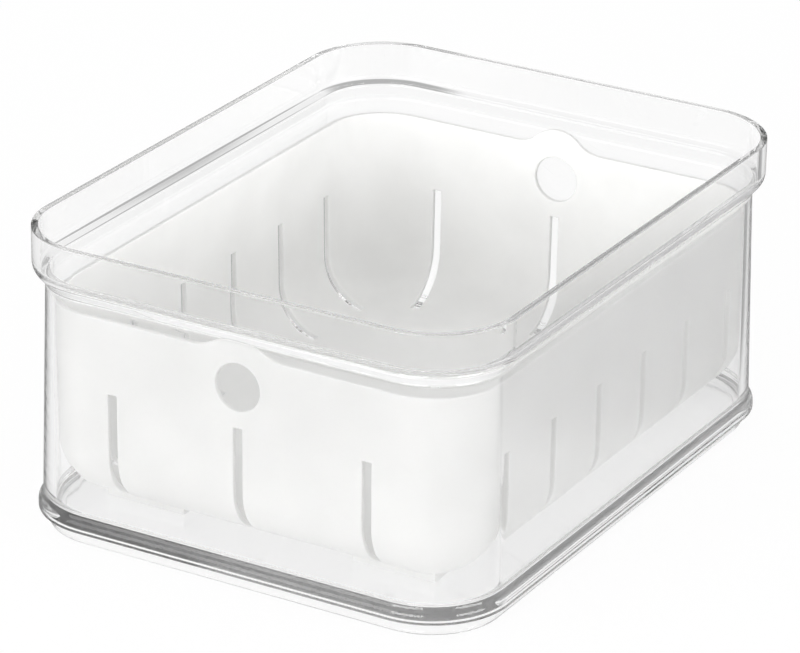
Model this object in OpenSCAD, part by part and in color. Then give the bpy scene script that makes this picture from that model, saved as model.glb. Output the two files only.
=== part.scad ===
// Produce storage container: a clear outer bin with a white slotted basket that lifts out of it.
// Millimetres, +Z up. The bin stands on Z = 0, centred on the Z axis, with its length along Y.

/* [Bin outside] */
// width of the collar
bin_w = 160; // [140:1:220]
// length of the collar
bin_l = 206; // [170:1:300]
// height from the table to the rim
bin_h = 96; // [88:1:140]
// plan radius of the collar's corners
corner_r = 26.6; // [25.6:0.2:32]
// height of the upright collar
collar_h = 11; // [9:0.5:14]
// radius of the shoulder under the collar
shoulder_r = 5; // [4:0.5:8]
// slope of the shoulder's straight part, in degrees from upright
shoulder_slope = 40; // [30:1:50]
// radius where the shoulder runs out into the wall
blend_r = 3.5; // [1:0.5:5]
// inset of the wall's outer face, just under the shoulder
wall_in = 3.9; // [3:0.1:4.4]
// how far the outer face spreads from there to the base
wall_flare = 1.7; // [0:0.1:2]
// inset of the base bead's widest line from the collar
bead_in = 0.7; // [0.4:0.1:1]
// radius under the base bead
bead_low_r = 2; // [1.6:0.1:2.6]
// radius over the base bead
bead_top_r = 4.5; // [3.5:0.1:6]
// height of the nesting foot
foot_h = 4.7; // [3.5:0.1:6]
// inset of the nesting foot from the collar
foot_in = 3.9; // [3.6:0.1:4.6]
// thickness of the nesting foot
foot_t = 2; // [1.6:0.1:2.6]
// radius of the foot's outer lower edge
foot_edge_r = 0.8; // [0.4:0.1:1.2]

/* [Bin inside] */
// thickness of the collar at the rim
rim_t = 2.2; // [1.8:0.1:2.6]
// radius of the rim's two edges
rim_edge_r = 0.6; // [0.3:0.1:0.8]
// thickness of the wall just under the shoulder
wall_t = 1.8; // [1.4:0.1:2.4]
// from the collar's foot down to the ledge inside it
step_drop = 1; // [0:0.1:2]
// how far the ledge falls on its way in to the wall
step_fall = 0.8; // [0.2:0.1:2]
// thickness of the floor
floor_t = 2.9; // [2:0.1:4]
// radius between wall and floor, inside
floor_r = 3.5; // [2:0.5:6]

/* [Basket] */
// clearance from the bin's wall to the basket's rim
basket_gap = 0.7; // [0.5:0.1:2]
// thickness of the basket
basket_t = 1.8; // [1.4:0.1:2.4]
// how far the wall leans in from rim to base
basket_draft = 0.8; // [0.4:0.1:1.6]
// radius round the basket's base
basket_r = 18; // [14:0.5:18]
// from the bin's rim down to the basket's rim
rim_drop = 22; // [20:0.5:26]
// height of the pads under the basket
pad_h = 4.2; // [2:0.1:6]
// width of each pad
pad_w = 27.4; // [18:0.2:32]
// depth of each pad
pad_d = 12; // [6:0.5:20]
// how far each pad reaches past the flat of the base
pad_over = 1.8; // [0:0.1:2.4]
// how far each pad is let into the base
pad_let = 0.3; // [0.2:0.1:0.6]

/* [Basket openings] */
// width of the slots
slot_w = 2.9; // [2:0.1:4]
// from the basket's rim down to the top of the slots
slot_drop = 23.8; // [21:0.2:28]
// from the flat of the base out to the slots' lower ends
slot_stop = 2.6; // [2.4:0.2:6]
// slots in each short wall
slots_short = 3; // [3:2:5]
// slots in each long wall
slots_long = 6; // [4:1:8]
// from the corner's start to the last slot, short walls
slot_end_short = 9.9; // [4:0.1:14]
// from the corner's start to the last slot, long walls
slot_end_long = 5.8; // [3:0.2:12]
// diameter of the finger holes
hole_d = 15; // [12:0.5:17]
// from the basket's rim down to the holes' centre
hole_drop = 10.7; // [9.5:0.1:12]
// width of the rise in the rim over each hole
hump_w = 30; // [24:0.5:40]
// height of the rise
hump_h = 6; // [3:0.5:7]

/* [Hidden] */
$fn = 96;
over = 2;
cx = bin_w / 2 - corner_r;
cy = bin_l / 2 - corner_r;
shoulder_z = bin_h - collar_h;
wall_base_in = wall_in - wall_flare;
inner_in = wall_in + wall_t;
inner_r = corner_r - inner_in;
rim_in_r = corner_r - rim_t;
slope_top_in = shoulder_r * (1 - cos(shoulder_slope));
slope_top_z = shoulder_z - shoulder_r * sin(shoulder_slope);
slope_low_z = slope_top_z - (wall_in - slope_top_in) / tan(shoulder_slope);
step_top_z = shoulder_z - step_drop;
step_low_z = step_top_z - step_fall;
foot_r = corner_r - foot_in;
bead_r = corner_r - bead_in;
bead_z = foot_h + bead_low_r;
wall_lean = atan(wall_flare / (slope_low_z - bead_z));
blend_reach = blend_r * tan((shoulder_slope + wall_lean) / 2);
floor_z = foot_h + floor_t;
basket_z = floor_z + pad_h;
basket_rim_z = bin_h - rim_drop;
basket_top_z = basket_rim_z + hump_h;
basket_top_r = inner_r - basket_gap;
basket_low_r = basket_top_r - basket_draft;
basket_half_y = cy + basket_top_r;
flat_r = basket_low_r - basket_r;
flat_x = cx + flat_r;
flat_y = cy + flat_r;
pad_reach = sqrt(2) * (flat_r + pad_over) - flat_r;
pad_sink = basket_r - sqrt(basket_r * basket_r - pad_reach * pad_reach) + pad_let;
hump_r = (hump_w * hump_w / 4 + hump_h * hump_h) / (4 * hump_h);
slot_top_z = basket_rim_z - slot_drop;
pitch_short = 2 * (cx - slot_end_short) / (slots_short - 1);
pitch_long = 2 * (cy - slot_end_long) / (slots_long - 1);

// quarter of a disc, in the quadrant that starts at angle a
module quarter(r, a) {
  rotate([0, 0, a])
    intersection() {
      circle(r = r);
      square(2 * r);
    }
}

// carries a section round the rounded rectangle; its x runs outward from the corners' centres
module round_block(low, high) {
  translate([-cx, -cy, low])
    cube([2 * cx, 2 * cy, high - low]);
  for (turn = [0, 180])
    rotate([0, 0, turn]) {
      translate([cx, cy, 0])
        rotate([90, 0, 0])
          linear_extrude(height = 2 * cy)
            children();
      translate([-cx, cy, 0])
        rotate([90, 0, 90])
          linear_extrude(height = 2 * cx)
            children();
      translate([cx, cy, 0])
        rotate_extrude(angle = 90)
          children();
      translate([-cx, cy, 0])
        rotate([0, 0, 90])
          rotate_extrude(angle = 90)
            children();
    }
}

// outline of the bin's outside
module bin_outer_section() {
  // collar with its rounded outer edge
  translate([0, shoulder_z])
    square([corner_r, collar_h - rim_edge_r]);
  translate([0, bin_h - rim_edge_r])
    square([corner_r - rim_edge_r, rim_edge_r]);
  translate([corner_r - rim_edge_r, bin_h - rim_edge_r])
    quarter(rim_edge_r, 0);
  // round of the shoulder
  translate([corner_r - shoulder_r, shoulder_z])
    quarter(shoulder_r, 270);
  // wall and the shoulder's slope
  polygon([
    [0, foot_h],
    [foot_r, foot_h],
    [corner_r - wall_base_in, bead_z],
    [corner_r - wall_in, slope_low_z],
    [corner_r - slope_top_in, slope_top_z],
    [corner_r - shoulder_r, shoulder_z],
    [0, shoulder_z]
  ]);
  // hollow round between slope and wall
  translate([corner_r - wall_in, slope_low_z])
    difference() {
      polygon([
        [-wall_t / 2, 0],
        blend_reach * [sin(wall_lean), -cos(wall_lean)],
        blend_reach * [sin(shoulder_slope), cos(shoulder_slope)]
      ]);
      translate(blend_reach * [sin(wall_lean), -cos(wall_lean)] + blend_r * [cos(wall_lean), sin(wall_lean)])
        circle(r = blend_r);
    }
  // base bead
  translate([bead_r - bead_low_r, bead_z])
    quarter(bead_low_r, 270);
  translate([bead_r - bead_top_r, bead_z])
    quarter(bead_top_r, 0);
  // nesting foot with its rounded lower edge
  translate([0, foot_edge_r])
    square([foot_r, foot_h - foot_edge_r]);
  square([foot_r - foot_edge_r, foot_edge_r]);
  translate([foot_r - foot_edge_r, foot_edge_r])
    quarter(foot_edge_r, 270);
}

// outline of the bin's hollow
module bin_inner_section() {
  translate([0, step_top_z])
    square([rim_in_r, bin_h + over - step_top_z]);
  // rounded inner edge of the rim
  difference() {
    translate([0, bin_h - rim_edge_r])
      square([rim_in_r + rim_edge_r, rim_edge_r + over]);
    translate([rim_in_r + rim_edge_r, bin_h - rim_edge_r])
      quarter(rim_edge_r, 90);
  }
  // ledge inside the collar
  polygon([
    [0, step_low_z],
    [inner_r, step_low_z],
    [rim_in_r, step_top_z],
    [0, step_top_z]
  ]);
  translate([0, floor_z + floor_r])
    square([inner_r, step_low_z - floor_z - floor_r]);
  translate([0, floor_z])
    square([inner_r - floor_r, floor_r]);
  translate([inner_r - floor_r, floor_z + floor_r])
    quarter(floor_r, 270);
}

module outer_bin() {
  color([0.86, 0.9, 0.92, 0.45])
    difference() {
      round_block(0, bin_h)
        bin_outer_section();
      round_block(floor_z, bin_h + over)
        bin_inner_section();
      // hollow inside the nesting foot
      round_block(-over, foot_h)
        translate([0, -over])
          square([foot_r - foot_t, foot_h + over]);
    }
}

// outline of the basket, t inside its outer face
module basket_section(t, top) {
  polygon([
    [0, basket_z + basket_r],
    [basket_low_r - t, basket_z + basket_r],
    [basket_top_r - t, basket_rim_z],
    [basket_top_r - t, top],
    [0, top]
  ]);
  translate([0, basket_z + t])
    square([flat_r, basket_r - t]);
  translate([flat_r, basket_z + basket_r])
    quarter(basket_r - t, 270);
}

// everything above the rim but the rise, seen from the front
module rim_cut_section() {
  difference() {
    translate([-bin_w / 2, basket_rim_z])
      square([bin_w, hump_h + over]);
    // the hollow arc at each side and the round one on top meet where their slopes agree
    difference() {
      translate([-hump_w / 2, basket_rim_z - over])
        square([hump_w, hump_h + over]);
      for (side = [-1, 1])
        translate([side * hump_w / 2, basket_rim_z + hump_r])
          circle(r = hump_r);
      difference() {
        translate([-hump_w / 4, basket_rim_z + hump_h / 2])
          square([hump_w / 2, hump_h]);
        translate([0, basket_top_z - hump_r])
          circle(r = hump_r);
      }
    }
  }
}

// boxes that open the walls and the radius under them
module slots() {
  for (side = [0, 180])
    rotate([0, 0, side]) {
      for (i = [0 : slots_short - 1])
        translate([(i - (slots_short - 1) / 2) * pitch_short - slot_w / 2, flat_y + slot_stop, 0])
          cube([slot_w, bin_l / 2 - flat_y - slot_stop, slot_top_z]);
      for (i = [0 : slots_long - 1])
        translate([flat_x + slot_stop, (i - (slots_long - 1) / 2) * pitch_long - slot_w / 2, 0])
          cube([bin_w / 2 - flat_x - slot_stop, slot_w, slot_top_z]);
    }
}

module inner_basket() {
  color([0.96, 0.96, 0.95])
    union() {
      difference() {
        round_block(basket_z, basket_top_z)
          basket_section(0, basket_top_z);
        round_block(basket_z + basket_t, basket_top_z + over)
          basket_section(basket_t, basket_top_z + over);
        translate([0, bin_l / 2, 0])
          rotate([90, 0, 0])
            linear_extrude(height = bin_l)
              rim_cut_section();
        slots();
        // finger holes
        for (side = [-1, 1])
          translate([0, side * basket_half_y, basket_rim_z - hole_drop])
            rotate([90, 0, 0])
              cylinder(h = 6 * basket_t, d = hole_d, center = true);
      }
      // pads under the corners of the base
      for (sx = [-1, 1])
        for (sy = [-1, 1])
          translate([
            sx * (flat_x + pad_over - pad_w / 2) - pad_w / 2,
            sy * (flat_y + pad_over - pad_d / 2) - pad_d / 2,
            floor_z
          ])
            cube([pad_w, pad_d, pad_h + pad_sink]);
    }
}

outer_bin();
inner_basket();
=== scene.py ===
import math
import bpy
from mathutils import Matrix, Vector


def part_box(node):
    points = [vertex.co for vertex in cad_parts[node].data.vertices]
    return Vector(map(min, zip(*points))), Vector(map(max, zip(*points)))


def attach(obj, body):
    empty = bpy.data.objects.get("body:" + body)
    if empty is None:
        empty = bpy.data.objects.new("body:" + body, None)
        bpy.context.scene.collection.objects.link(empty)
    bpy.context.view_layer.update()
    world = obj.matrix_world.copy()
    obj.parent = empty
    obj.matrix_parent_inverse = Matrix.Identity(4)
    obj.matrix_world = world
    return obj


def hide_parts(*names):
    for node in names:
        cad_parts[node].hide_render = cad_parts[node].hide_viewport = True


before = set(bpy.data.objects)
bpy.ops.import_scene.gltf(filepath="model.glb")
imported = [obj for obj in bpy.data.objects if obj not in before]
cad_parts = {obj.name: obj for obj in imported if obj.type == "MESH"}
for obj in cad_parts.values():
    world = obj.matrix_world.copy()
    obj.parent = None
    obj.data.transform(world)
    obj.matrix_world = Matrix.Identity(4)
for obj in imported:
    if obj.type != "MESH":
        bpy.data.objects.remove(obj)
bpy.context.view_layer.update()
mm = 0.001
near = 0.01 * mm  # closer than this is the same place
binLow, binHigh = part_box("outer_bin")
basketLow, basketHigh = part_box("inner_basket")
print("frame loaded:", [round(v / mm, 1) for v in binHigh - binLow], "mm")


def linear(hexColour):  # sRGB hex to a linear colour
    channels = [int(hexColour[i:i + 2], 16) / 255 for i in (1, 3, 5)]
    return [c / 12.92 if c <= 0.04045 else ((c + 0.055) / 1.055) ** 2.4 for c in channels] + [1.0]


def addNode(tree, kind, settings=(), links=()):
    node = tree.nodes.new(kind)
    for name, value in dict(settings).items():
        if isinstance(name, int) or name in node.inputs:
            node.inputs[name].default_value = value
        else:
            setattr(node, name, value)
    for name, source in dict(links).items():
        tree.links.new(source, node.inputs[name])
    return node


# modelling helpers
def startMesh(name):  # one vertex at the origin, in edit mode
    bpy.ops.object.select_all(action="DESELECT")
    bpy.ops.mesh.primitive_plane_add(size=mm)
    obj = bpy.context.object
    obj.name = obj.data.name = name
    bpy.ops.object.mode_set(mode="EDIT")
    bpy.ops.mesh.select_all(action="SELECT")
    bpy.ops.mesh.merge(type="CENTER")
    bpy.ops.mesh.select_mode(type="VERT")
    bpy.ops.mesh.select_all(action="SELECT")
    return obj


def drawLine(points):  # the lone vertex goes to the first point, then is extruded along the rest
    bpy.ops.transform.translate(value=points[0])
    for a, b in zip(points, points[1:]):
        step = [v - u for u, v in zip(a, b)]
        bpy.ops.mesh.extrude_vertices_move(TRANSFORM_OT_translate={"value": step})


def arc(cx, cz, radius, fromDeg, toDeg, steps):
    angles = [math.radians(fromDeg + (toDeg - fromDeg) * i / steps) for i in range(steps + 1)]
    return [(cx + radius * math.cos(a), cz + radius * math.sin(a)) for a in angles]


def fillet(a, corner, b, radius, steps):  # arc that rounds a corner between two straight runs
    a, corner, b = Vector(a), Vector(corner), Vector(b)
    inward, outward = (corner - a).normalized(), (b - corner).normalized()
    turn = inward.angle(outward)
    reach = radius * math.tan(turn / 2)
    start = corner - inward * reach
    bisector = (outward - inward).normalized()
    centre = corner + bisector * (radius / math.cos(turn / 2))
    first = start - centre
    side = 1 if inward.x * outward.y - inward.y * outward.x > 0 else -1
    points = []
    for i in range(steps + 1):
        t = side * turn * i / steps
        points.append((centre.x + first.x * math.cos(t) - first.y * math.sin(t),
                       centre.y + first.x * math.sin(t) + first.y * math.cos(t)))
    return points


def sweepRound(centreX, centreY, cornerSteps, stopsX=(), stopsY=()):
    # the selected outline stands at the first corner, facing +X
    # it turns the four corners and runs the four sides
    corners = [(centreX, centreY), (-centreX, centreY), (-centreX, -centreY), (centreX, -centreY)]
    runs = [((-1, 0), centreX, stopsX), ((0, -1), centreY, stopsY),
            ((1, 0), centreX, stopsX), ((0, 1), centreY, stopsY)]
    for (x, y), (way, half, stops) in zip(corners, runs):
        bpy.ops.mesh.spin(steps=cornerSteps, angle=-math.pi / 2, center=(x, y, 0), axis=(0, 0, 1))
        places = [-half] + sorted(stops) + [half]
        for a, b in zip(places, places[1:]):
            step = (way[0] * (b - a), way[1] * (b - a), 0)
            bpy.ops.mesh.extrude_region_move(TRANSFORM_OT_translate={"value": step})
    bpy.ops.mesh.select_all(action="SELECT")
    bpy.ops.mesh.remove_doubles(threshold=near)


def selectWhere(obj, kind, test):  # picks verts, edges or faces of the edited mesh by place
    bpy.ops.mesh.select_mode(type=kind)
    bpy.ops.mesh.select_all(action="DESELECT")
    bpy.ops.object.mode_set(mode="OBJECT")
    mesh = obj.data
    for v in mesh.vertices:
        v.select = kind == "VERT" and test(v.co)
    for e in mesh.edges:
        e.select = kind == "EDGE" and all(test(mesh.vertices[i].co) for i in e.vertices)
    for f in mesh.polygons:
        f.select = kind == "FACE" and test(f.center)
    bpy.ops.object.mode_set(mode="EDIT")


def applyModifier(obj, kind, **settings):
    bpy.context.view_layer.objects.active = obj
    modifier = obj.modifiers.new(kind.title(), kind)
    for name, value in settings.items():
        setattr(modifier, name, value)
    bpy.ops.object.modifier_apply(modifier=modifier.name)


def joinWith(obj, tool, how):  # boolean with a tool body, which is then thrown away
    applyModifier(obj, "BOOLEAN", object=tool, operation=how, solver="EXACT")
    bpy.data.objects.remove(tool)


def smoothShade(obj, angleDeg):
    bpy.ops.object.select_all(action="DESELECT")
    obj.select_set(True)
    bpy.context.view_layer.objects.active = obj
    bpy.ops.object.shade_smooth_by_angle(angle=math.radians(angleDeg))
    applyModifier(obj, "WEIGHTED_NORMAL", mode="FACE_AREA", weight=60, keep_sharp=True)


# clear outer bin
# mm, as in the solid, but with tighter edges at the rim and under the bead, where light shows them
binSize = {
    "cornerR": 26.6, "collarH": 11, "shoulderR": 5, "slopeDeg": 40, "blendR": 3.5,
    "wallIn": 3.9, "wallFlare": 1.7, "beadIn": 0.7, "beadLowR": 0.5, "beadFace": 1.5, "beadRise": 3.8,
    "footH": 4.7, "footIn": 3.9, "footT": 2, "footEdgeR": 0.8, "footInR": 0.4,
    "rimT": 2.2, "rimEdgeR": 0.3, "wallT": 1.8, "floorT": 2.9, "floorR": 3.5,
    "stepDrop": 1, "stepFall": 0.8, "stepLowR": 0.8, "stepTopR": 1.0,
    "cornerSteps": 32, "floorSteps": 10, "shoulderSteps": 8, "beadSteps": 6, "edgeSteps": 5,
    "smallSteps": 4, "smoothDeg": 32,
}


def binOutline(s):  # from the floor up the inside, over the rim, down the outside and round the foot
    height = binHigh.z / mm
    r = s["cornerR"]
    innerR = r - s["wallIn"] - s["wallT"]
    rimInR = r - s["rimT"]
    shoulderZ = height - s["collarH"]
    stepTop = (rimInR, shoulderZ - s["stepDrop"])
    stepLow = (innerR, stepTop[1] - s["stepFall"])
    floorZ = s["footH"] + s["floorT"]
    footR = r - s["footIn"]
    beadLow = s["footH"] + s["beadLowR"]
    beadZ = beadLow + s["beadFace"]
    beadR = r - s["beadIn"]
    edge = s["rimEdgeR"]
    points = arc(innerR - s["floorR"], floorZ + s["floorR"], s["floorR"], -90, 0, s["floorSteps"])
    points += fillet(points[-1], stepLow, stepTop, s["stepLowR"], s["edgeSteps"])
    points += fillet(stepLow, stepTop, (rimInR, height), s["stepTopR"], s["smallSteps"])
    points += arc(rimInR + edge, height - edge, edge, 180, 90, s["edgeSteps"])
    points += arc(r - edge, height - edge, edge, 90, 0, s["edgeSteps"])
    # shoulder: a round, a straight slope and a hollow round into the wall
    points += arc(r - s["shoulderR"], shoulderZ, s["shoulderR"], 0, -s["slopeDeg"], s["shoulderSteps"])
    slopeTop = points[-1]
    slopeRun = slopeTop[0] - r + s["wallIn"]
    wallTop = (r - s["wallIn"], slopeTop[1] - slopeRun / math.tan(math.radians(s["slopeDeg"])))
    wallBase = r - s["wallIn"] + s["wallFlare"]
    points += fillet(slopeTop, wallTop, (wallBase, beadZ + s["beadRise"]), s["blendR"], s["shoulderSteps"])
    # the wall spreads a little on its way down and runs out over the bead in two equal arcs
    swing = 2 * math.atan((beadR - wallBase) / s["beadRise"])
    bendR = s["beadRise"] / (2 * math.sin(swing))
    swingDeg = math.degrees(swing)
    points += arc(wallBase + bendR, beadZ + s["beadRise"], bendR, 180, 180 + swingDeg, s["beadSteps"])
    points += arc(beadR - bendR, beadZ, bendR, swingDeg, 0, s["beadSteps"])[1:]
    points += arc(beadR - s["beadLowR"], beadLow, s["beadLowR"], 0, -90, s["beadSteps"])
    points += [(footR, s["footH"])]
    points += arc(footR - s["footEdgeR"], s["footEdgeR"], s["footEdgeR"], 0, -90, s["edgeSteps"])
    footIn = footR - s["footT"]
    points += fillet((footR, 0), (footIn, 0), (footIn, s["footH"]), s["footInR"], s["smallSteps"])
    points += [(footIn, s["footH"])]
    return points


def makeBin(s):
    centreX = binHigh.x - s["cornerR"] * mm
    centreY = binHigh.y - s["cornerR"] * mm
    outline = binOutline(s)
    obj = startMesh("clearBin")
    drawLine([(centreX + x * mm, centreY, z * mm) for x, z in outline])
    bpy.ops.mesh.select_all(action="SELECT")
    sweepRound(centreX, centreY, s["cornerSteps"])
    # floor above and below
    limit = max(outline[0][0], outline[-1][0]) * mm + near
    for z in (outline[0][1] * mm, outline[-1][1] * mm):
        selectWhere(obj, "EDGE", lambda p: abs(p.z - z) < near
                    and abs(p.x) < centreX + limit and abs(p.y) < centreY + limit)
        bpy.ops.mesh.edge_face_add()
    bpy.ops.mesh.select_all(action="SELECT")
    bpy.ops.mesh.normals_make_consistent(inside=False)
    bpy.ops.object.mode_set(mode="OBJECT")
    smoothShade(obj, s["smoothDeg"])
    return obj


clearBin = makeBin(binSize)
print("bin:", len(clearBin.data.polygons), "faces")


# white basket
basketSize = {  # mm, as in the solid, with its edges eased
    "thick": 1.8, "draft": 0.8, "baseR": 18, "humpW": 30, "humpH": 6, "slotW": 2.9, "slotTop": 50.2,
    "slotStop": 2.6, "slotsShort": 3, "slotsLong": 6, "slotEndShort": 9.9, "slotEndLong": 5.8,
    "holeD": 15, "holeZ": 63.3, "padH": 4.2, "padW": 27.4, "padD": 12, "padOver": 1.8, "padEdgeR": 0.5,
    "padAir": 0.12,  # a dry foot keeps a film of air, so the clear floor still mirrors under it
    "edgeR": 0.45, "edgeDeg": 50, "flatDeg": 0.3, "smoothDeg": 30,
    "cornerSteps": 24, "baseSteps": 16, "holeSides": 64, "edgeSteps": 3, "padEdgeSteps": 2,
}


def slotPlaces(half, end, count):
    pitch = 2 * (half - end) / (count - 1)
    return [(i - (count - 1) / 2) * pitch for i in range(count)]


def makeBasket(s):
    centreX = binHigh.x / mm - binSize["cornerR"]
    centreY = binHigh.y / mm - binSize["cornerR"]
    topR = basketHigh.x / mm - centreX
    lowR = topR - s["draft"]
    rimZ = basketHigh.z / mm - s["humpH"]
    baseZ = basketLow.z / mm + s["padH"]
    flatR = lowR - s["baseR"]
    stopDeg = math.degrees(math.asin(s["slotStop"] / s["baseR"]))
    outline = [(flatR, baseZ)]
    outline += arc(flatR, baseZ + s["baseR"], s["baseR"], stopDeg - 90, 0, s["baseSteps"])
    wallLean = s["draft"] / (rimZ - baseZ - s["baseR"])
    outline += [(lowR + wallLean * (s["slotTop"] - baseZ - s["baseR"]), s["slotTop"]), (topR, rimZ)]
    shortSlots = slotPlaces(centreX, s["slotEndShort"], s["slotsShort"])
    longSlots = slotPlaces(centreY, s["slotEndLong"], s["slotsLong"])
    humpStops = [i - s["humpW"] / 2 for i in range(int(s["humpW"]) + 1)]  # one a millimetre
    edges = [-s["slotW"] / 2, s["slotW"] / 2]
    stopsX = sorted(set([round(p + e, 4) for p in shortSlots for e in edges] + humpStops))
    stopsY = [p + e for p in longSlots for e in edges]

    obj = startMesh("basketShell")
    drawLine([((centreX + x) * mm, centreY * mm, z * mm) for x, z in outline])
    bpy.ops.mesh.select_all(action="SELECT")
    sweepRound(centreX * mm, centreY * mm, s["cornerSteps"],
               [p * mm for p in stopsX], [p * mm for p in stopsY])
    selectWhere(obj, "EDGE", lambda p: abs(p.z - baseZ * mm) < near)
    bpy.ops.mesh.edge_face_add()
    bpy.ops.mesh.select_all(action="SELECT")
    bpy.ops.mesh.normals_make_consistent(inside=False)

    # slots: the faces of the sheet between their sides come out
    def inSlot(p):
        x, y, z = p / mm
        if z > s["slotTop"]:
            return False
        shortWall = abs(y) > centreY + flatR + s["slotStop"]
        longWall = abs(x) > centreX + flatR + s["slotStop"]
        nearShort = any(abs(x - place) < s["slotW"] / 2 for place in shortSlots)
        nearLong = any(abs(y - place) < s["slotW"] / 2 for place in longSlots)
        return (shortWall and nearShort) or (longWall and nearLong)
    selectWhere(obj, "FACE", inSlot)
    bpy.ops.mesh.delete(type="FACE")

    # rise in the rim over each finger hole
    half = s["humpW"] / 2
    humpR = (half ** 2 + s["humpH"] ** 2) / (4 * s["humpH"])
    def rise(x):
        if abs(x) >= half:
            return 0
        if abs(x) > half / 2:
            return humpR - math.sqrt(humpR ** 2 - (half - abs(x)) ** 2)
        return s["humpH"] - humpR + math.sqrt(humpR ** 2 - x ** 2)
    for x in [p for p in stopsX if abs(p) < half]:
        for side in (-1, 1):
            selectWhere(obj, "VERT", lambda p: abs(p.z - rimZ * mm) < near and abs(p.x - x * mm) < near
                        and p.y * side > 0)
            bpy.ops.transform.translate(value=(0, 0, rise(x) * mm))

    # flat walls become single faces, then the sheet gets its thickness
    bpy.ops.mesh.select_all(action="SELECT")
    bpy.ops.mesh.dissolve_limited(angle_limit=math.radians(s["flatDeg"]))
    bpy.ops.object.mode_set(mode="OBJECT")
    applyModifier(obj, "SOLIDIFY", thickness=s["thick"] * mm, offset=-1, use_even_offset=True)

    # finger holes through both short walls, then every edge is eased
    bpy.ops.object.select_all(action="DESELECT")
    through = 2 * basketHigh.y + s["holeD"] * mm
    bpy.ops.mesh.primitive_cylinder_add(vertices=s["holeSides"], radius=s["holeD"] / 2 * mm, depth=through,
                                        location=(0, 0, s["holeZ"] * mm), rotation=(math.pi / 2, 0, 0))
    joinWith(obj, bpy.context.object, "DIFFERENCE")
    applyModifier(obj, "BEVEL", width=s["edgeR"] * mm, segments=s["edgeSteps"], limit_method="ANGLE",
                  angle_limit=math.radians(s["edgeDeg"]), use_clamp_overlap=False)

    # four feet under the flat of the floor
    padX = centreX + flatR + s["padOver"] - s["padW"] / 2
    padY = centreY + flatR + s["padOver"] - s["padD"] / 2
    high = s["padH"] + s["thick"] / 2 - s["padAir"]
    middle = basketLow.z / mm + s["padAir"] + high / 2
    for sideX in (-1, 1):
        for sideY in (-1, 1):
            place = (sideX * padX * mm, sideY * padY * mm, middle * mm)
            bpy.ops.object.select_all(action="DESELECT")
            bpy.ops.mesh.primitive_cube_add(size=mm, location=place)
            pad = bpy.context.object
            bpy.ops.object.mode_set(mode="EDIT")
            bpy.ops.transform.resize(value=(s["padW"], s["padD"], high))
            bpy.ops.mesh.bevel(offset=s["padEdgeR"] * mm, segments=s["padEdgeSteps"])
            bpy.ops.object.mode_set(mode="OBJECT")
            joinWith(obj, pad, "UNION")

    # what the cuts leave in slivers is merged away
    bpy.ops.object.select_all(action="DESELECT")
    bpy.context.view_layer.objects.active = obj
    bpy.ops.object.mode_set(mode="EDIT")
    bpy.ops.mesh.select_all(action="SELECT")
    bpy.ops.mesh.remove_doubles(threshold=near)
    bpy.ops.mesh.dissolve_degenerate(threshold=near)
    bpy.ops.object.mode_set(mode="OBJECT")
    smoothShade(obj, s["smoothDeg"])
    return obj


basket = makeBasket(basketSize)
print("basket:", len(basket.data.polygons), "faces")

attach(clearBin, "bin")
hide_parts("outer_bin")
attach(basket, "basket")
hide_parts("inner_basket")


clearFinish = {
    "ior": 1.53, "roughness": 0.01, "floorRoughness": 0.12,
    # the floor's two sides are below this height and face up or down by at least this much
    "floorBelow": 9 * mm, "levelFrom": 0.98,
    "rippleSize": 14, "rippleDepth": 0.012,  # mm, slow waves that the mould's cooling leaves in the sheet
    "cast": "#505050", "castDensity": 3.0,  # grey that builds up along the light's way, per metre
}


# clear PET, injection moulded in a polished mould: sharp glassy edges, white showing through every face,
# a grey cast only where the light runs along inside it, and a floor that is a little less polished
def makeClear(s):
    material = bpy.data.materials.new("Clear PET, moulded and polished")
    material.use_nodes = True
    tree = material.node_tree
    tree.nodes.clear()
    where = addNode(tree, "ShaderNodeTexCoord")
    place = addNode(tree, "ShaderNodeSeparateXYZ", links={0: where.outputs["Object"]})
    facing = addNode(tree, "ShaderNodeSeparateXYZ", links={0: where.outputs["Normal"]})
    level = addNode(tree, "ShaderNodeMath", {"operation": "ABSOLUTE"}, {0: facing.outputs[2]})
    level = addNode(tree, "ShaderNodeMath", {"operation": "GREATER_THAN", 1: s["levelFrom"]},
                    {0: level.outputs[0]})
    low = addNode(tree, "ShaderNodeMath", {"operation": "LESS_THAN", 1: s["floorBelow"]},
                  {0: place.outputs[2]})
    onFloor = addNode(tree, "ShaderNodeMath", {"operation": "MULTIPLY"},
                      {0: level.outputs[0], 1: low.outputs[0]})
    roughness = addNode(tree, "ShaderNodeMapRange",
                        {"To Min": s["roughness"], "To Max": s["floorRoughness"]}, {0: onFloor.outputs[0]})
    ripple = addNode(tree, "ShaderNodeTexNoise", {
        "Scale": 1 / (s["rippleSize"] * mm), "Detail": 1.0, "Roughness": 0.4}, {0: where.outputs["Object"]})
    bump = addNode(tree, "ShaderNodeBump", {"Strength": 1.0, "Distance": s["rippleDepth"] * mm},
                   {"Height": ripple.outputs[0]})
    shader = addNode(tree, "ShaderNodeBsdfPrincipled", {
        "Base Color": linear("#ffffff"), "IOR": s["ior"], "Transmission Weight": 1.0},
        {"Roughness": roughness.outputs[0], "Normal": bump.outputs[0]})
    volume = addNode(tree, "ShaderNodeVolumeAbsorption",
                     {"Color": linear(s["cast"]), "Density": s["castDensity"]})
    addNode(tree, "ShaderNodeOutputMaterial",
            links={"Surface": shader.outputs[0], "Volume": volume.outputs[0]})
    return material


whiteFinish = {
    "ior": 1.49, "roughFrom": 0.36, "roughTo": 0.46,
    "pale": "#f3f3f2", "dull": "#eeeeed", "dullTo": 0.35, "paleFrom": 0.65,
    "cloudSize": 25,  # mm, how the white drifts as the melt flowed
    # mm, the mould's fine texture is nearer 0.2, drawn coarser so that it shows
    "grainSize": 0.7, "grainDepth": 0.004,
    "lightDepth": 0.8,  # mm that light wanders inside before it comes out
}


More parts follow.
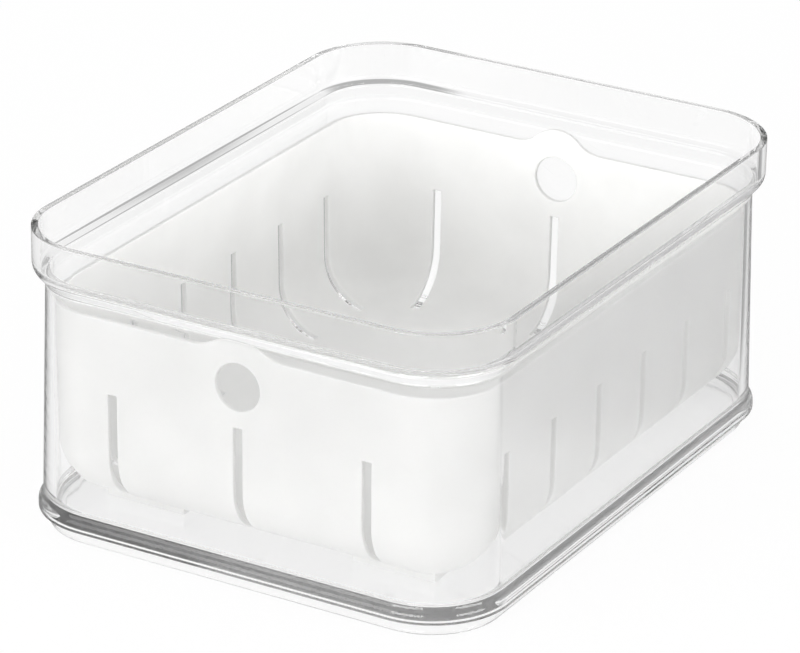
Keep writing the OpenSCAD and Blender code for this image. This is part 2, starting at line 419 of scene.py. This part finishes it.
# white polypropylene, injection moulded in a finely blasted mould: satin, no sharp reflections,
# and thin edges that glow a little because light passes into the milky plastic
def makeWhite(s):
    material = bpy.data.materials.new("White polypropylene, satin moulded")
    material.use_nodes = True
    tree = material.node_tree
    tree.nodes.clear()
    where = addNode(tree, "ShaderNodeTexCoord")
    cloud = addNode(tree, "ShaderNodeTexNoise", {"Scale": 1 / (s["cloudSize"] * mm), "Detail": 3.0},
                    {0: where.outputs["Object"]})
    colour = addNode(tree, "ShaderNodeValToRGB", links={0: cloud.outputs[0]})
    dull, pale = colour.color_ramp.elements
    dull.position, dull.color = s["dullTo"], linear(s["dull"])
    pale.position, pale.color = s["paleFrom"], linear(s["pale"])
    grain = addNode(tree, "ShaderNodeTexNoise", {"Scale": 1 / (s["grainSize"] * mm), "Detail": 2.0},
                    {0: where.outputs["Object"]})
    roughness = addNode(tree, "ShaderNodeMapRange", {"To Min": s["roughFrom"], "To Max": s["roughTo"]},
                        {0: grain.outputs[0]})
    bump = addNode(tree, "ShaderNodeBump", {"Strength": 1.0, "Distance": s["grainDepth"] * mm},
                   {"Height": grain.outputs[0]})
    shader = addNode(tree, "ShaderNodeBsdfPrincipled", {
        "IOR": s["ior"], "Subsurface Weight": 1.0, "Subsurface Radius": (1, 1, 1),
        "Subsurface Scale": s["lightDepth"] * mm},
        {"Base Color": colour.outputs[0], "Roughness": roughness.outputs[0], "Normal": bump.outputs[0]})
    addNode(tree, "ShaderNodeOutputMaterial", links={"Surface": shader.outputs[0]})
    return material


clearBin.data.materials.append(makeClear(clearFinish))
basket.data.materials.append(makeWhite(whiteFinish))
print("materials:", [m.name for m in bpy.data.materials if m.users])

# stage
scene = bpy.context.scene
scene.view_settings.view_transform = "Standard"
bounces = 64  # light runs a long way inside the clear floor
scene.cycles.max_bounces = bounces
scene.cycles.transmission_bounces = bounces
scene.cycles.glossy_bounces = bounces

studio = {
    "ambient": 0.9,  # even light from all round on the object
    # what a reflection sees of the set, against 1 for what shows directly or through the plastic
    "mirrored": 0.3,
    # the set darkens overhead, between two heights on a unit globe
    "ceiling": 0.3, "ceilingFrom": 0.15, "ceilingTo": 0.7,
    # light that the floor throws up on the object, from a panel round it
    # that fades between two radii in metres
    "floorBounce": 1.5, "farBounce": 0.3, "panelFrom": 0.25, "panelTo": 0.55,
    # share of the floor that is lit from inside, the rest is paint that takes the shadow
    "floorSize": 8, "floorColour": "#f2f2f2", "floorGlow": 0.94,
    # painted shade on the floor, seen only by rays through the plastic, where the object's shadow would
    # fall
    # left, right and behind: place and reach in metres, and the light that is left there
    "paintedShadeEdge": 0.3,  # share of the reach over which it fades
    "paintedShadePlaces": [
        ((-0.121, 0.11, 0), (0.039, 0.1, 1), 0.45),
        ((0.121, -0.11, 0), (0.039, 0.1, 1), 0.55),
        ((0.13, 0.2, 0), (0.06, 0.2, 1), 0.3),
    ],
}


def whiteShare(tree):  # how white the set is for this ray, and whether it has met no matt surface yet
    path = addNode(tree, "ShaderNodeLightPath")
    mirrored = addNode(tree, "ShaderNodeMath", {"operation": "MULTIPLY", 1: studio["mirrored"]},
                       {0: path.outputs["Is Glossy Ray"]})
    through = addNode(tree, "ShaderNodeMath", {"operation": "MAXIMUM"},
                      {0: path.outputs["Is Camera Ray"], 1: path.outputs["Is Transmission Ray"]})
    seen = addNode(tree, "ShaderNodeMath", {"operation": "MAXIMUM"},
                   {0: through.outputs[0], 1: mirrored.outputs[0]})
    direct = addNode(tree, "ShaderNodeMath", {"operation": "LESS_THAN", 1: 0.5},
                     {0: path.outputs["Diffuse Depth"]})
    return seen.outputs[0], direct.outputs[0]


world = bpy.data.worlds.new("White studio")
scene.world = world
world.use_nodes = True
tree = world.node_tree
tree.nodes.clear()
seen, direct = whiteShare(tree)
way = addNode(tree, "ShaderNodeTexCoord")
height = addNode(tree, "ShaderNodeSeparateXYZ", links={0: way.outputs["Generated"]})
ceiling = addNode(tree, "ShaderNodeMapRange", {
    "interpolation_type": "SMOOTHSTEP", "From Min": studio["ceilingFrom"], "From Max": studio["ceilingTo"],
    "To Min": 1.0, "To Max": studio["ceiling"]}, {0: height.outputs[2]})
shown = addNode(tree, "ShaderNodeMath", {"operation": "MULTIPLY"}, {0: seen, 1: ceiling.outputs[0]})
strength = addNode(tree, "ShaderNodeMix", {2: studio["ambient"]}, {0: direct, 3: shown.outputs[0]})
background = addNode(tree, "ShaderNodeBackground", {"Color": linear("#ffffff")},
                     {"Strength": strength.outputs[0]})
addNode(tree, "ShaderNodeOutputWorld", links={"Surface": background.outputs[0]})

bpy.ops.object.select_all(action="DESELECT")
bpy.ops.mesh.primitive_plane_add(size=studio["floorSize"])
floor = bpy.context.object
floor.name = "studioFloor"
material = bpy.data.materials.new("White studio floor")
material.use_nodes = True
tree = material.node_tree
tree.nodes.clear()
seen, direct = whiteShare(tree)
where = addNode(tree, "ShaderNodeTexCoord")
# painted shade: dark patches multiplied into the floor's glow, one for each place listed above
shade = None
for at, reach, left in studio["paintedShadePlaces"]:
    spot = addNode(tree, "ShaderNodeMapping", {"vector_type": "TEXTURE", "Location": at, "Scale": reach},
                   {0: where.outputs["Object"]})
    spot = addNode(tree, "ShaderNodeTexGradient", {"gradient_type": "SPHERICAL"}, {0: spot.outputs[0]})
    spot = addNode(tree, "ShaderNodeMapRange", {
        "interpolation_type": "SMOOTHSTEP", "From Max": studio["paintedShadeEdge"], "To Min": 1.0, "To Max": left},
        {0: spot.outputs[1]})
    if shade:
        spot = addNode(tree, "ShaderNodeMath", {"operation": "MULTIPLY"},
                       {0: shade.outputs[0], 1: spot.outputs[0]})
    shade = spot
# only rays that came through the plastic see the painted shade; the camera and reflections see the floor's
# full glow
path = addNode(tree, "ShaderNodeLightPath")
lit = addNode(tree, "ShaderNodeMix", {2: 1.0},
              {0: path.outputs["Is Transmission Ray"], 3: shade.outputs[0]})
shown = addNode(tree, "ShaderNodeMath", {"operation": "MULTIPLY"}, {0: seen, 1: lit.outputs[0]})
nearness = addNode(tree, "ShaderNodeTexGradient", {"gradient_type": "SPHERICAL"},
                   {0: where.outputs["Object"]})
bounce = addNode(tree, "ShaderNodeMapRange", {
    "interpolation_type": "SMOOTHSTEP",
    "From Min": 1 - studio["panelTo"], "From Max": 1 - studio["panelFrom"],
    "To Min": studio["farBounce"], "To Max": studio["floorBounce"]}, {0: nearness.outputs[1]})
strength = addNode(tree, "ShaderNodeMix", links={0: direct, 2: bounce.outputs[0], 3: shown.outputs[0]})
paint = addNode(tree, "ShaderNodeBsdfDiffuse", {"Color": linear(studio["floorColour"])})
glow = addNode(tree, "ShaderNodeEmission", {"Color": linear("#ffffff")},
               {"Strength": strength.outputs[0]})
mix = addNode(tree, "ShaderNodeMixShader", {0: studio["floorGlow"]},
              {1: paint.outputs[0], 2: glow.outputs[0]})
addNode(tree, "ShaderNodeOutputMaterial", links={"Surface": mix.outputs[0]})
floor.data.materials.append(material)
print("studio floor:", studio["floorSize"], "m")

lampAim = Vector((0, 0, 0.05))
lamps = {  # place, width and height in metres, then watts
    "keyFront": ((0.05, -1.6, 0.36), 1.1, 0.6, 14),
    "keyLeft": ((-0.8, -1.35, 0.5), 0.9, 0.9, 5.5),
    "fillRight": ((1.65, -0.3, 0.36), 1.1, 0.6, 14),
}
for name, (place, width, height, watts) in lamps.items():
    lamp = bpy.data.lights.new(name, "AREA")
    lamp.shape = "RECTANGLE"
    lamp.size, lamp.size_y, lamp.energy = width, height, watts
    obj = bpy.data.objects.new(name, lamp)
    scene.collection.objects.link(obj)
    obj.location = place
    obj.rotation_euler = (lampAim - Vector(place)).to_track_quat("-Z", "Y").to_euler()
print("lamps:", list(lamps))

view = {  # degrees and metres, solved from the photograph's rim and foot outlines
    "azimuth": 30.007, "elevation": 23.485, "roll": 0.813, "distance": 1.42804,
    "aim": (-0.00367, 0.00242, 0.045), "lens": 209.04, "sensor": 36,  # lens and sensor in mm
}
camera = bpy.data.cameras.new("photoView")
camera.lens = view["lens"]
camera.sensor_width = view["sensor"]
cameraObject = bpy.data.objects.new("photoView", camera)
scene.collection.objects.link(cameraObject)
turn = (Matrix.Rotation(math.radians(view["azimuth"]), 4, "Z")
        @ Matrix.Rotation(math.radians(90 - view["elevation"]), 4, "X")
        @ Matrix.Rotation(math.radians(view["roll"]), 4, "Z"))
place = Vector(view["aim"]) + turn.to_3x3() @ Vector((0, 0, view["distance"]))
cameraObject.matrix_world = Matrix.Translation(place) @ turn
scene.camera = cameraObject

bpy.context.view_layer.update()
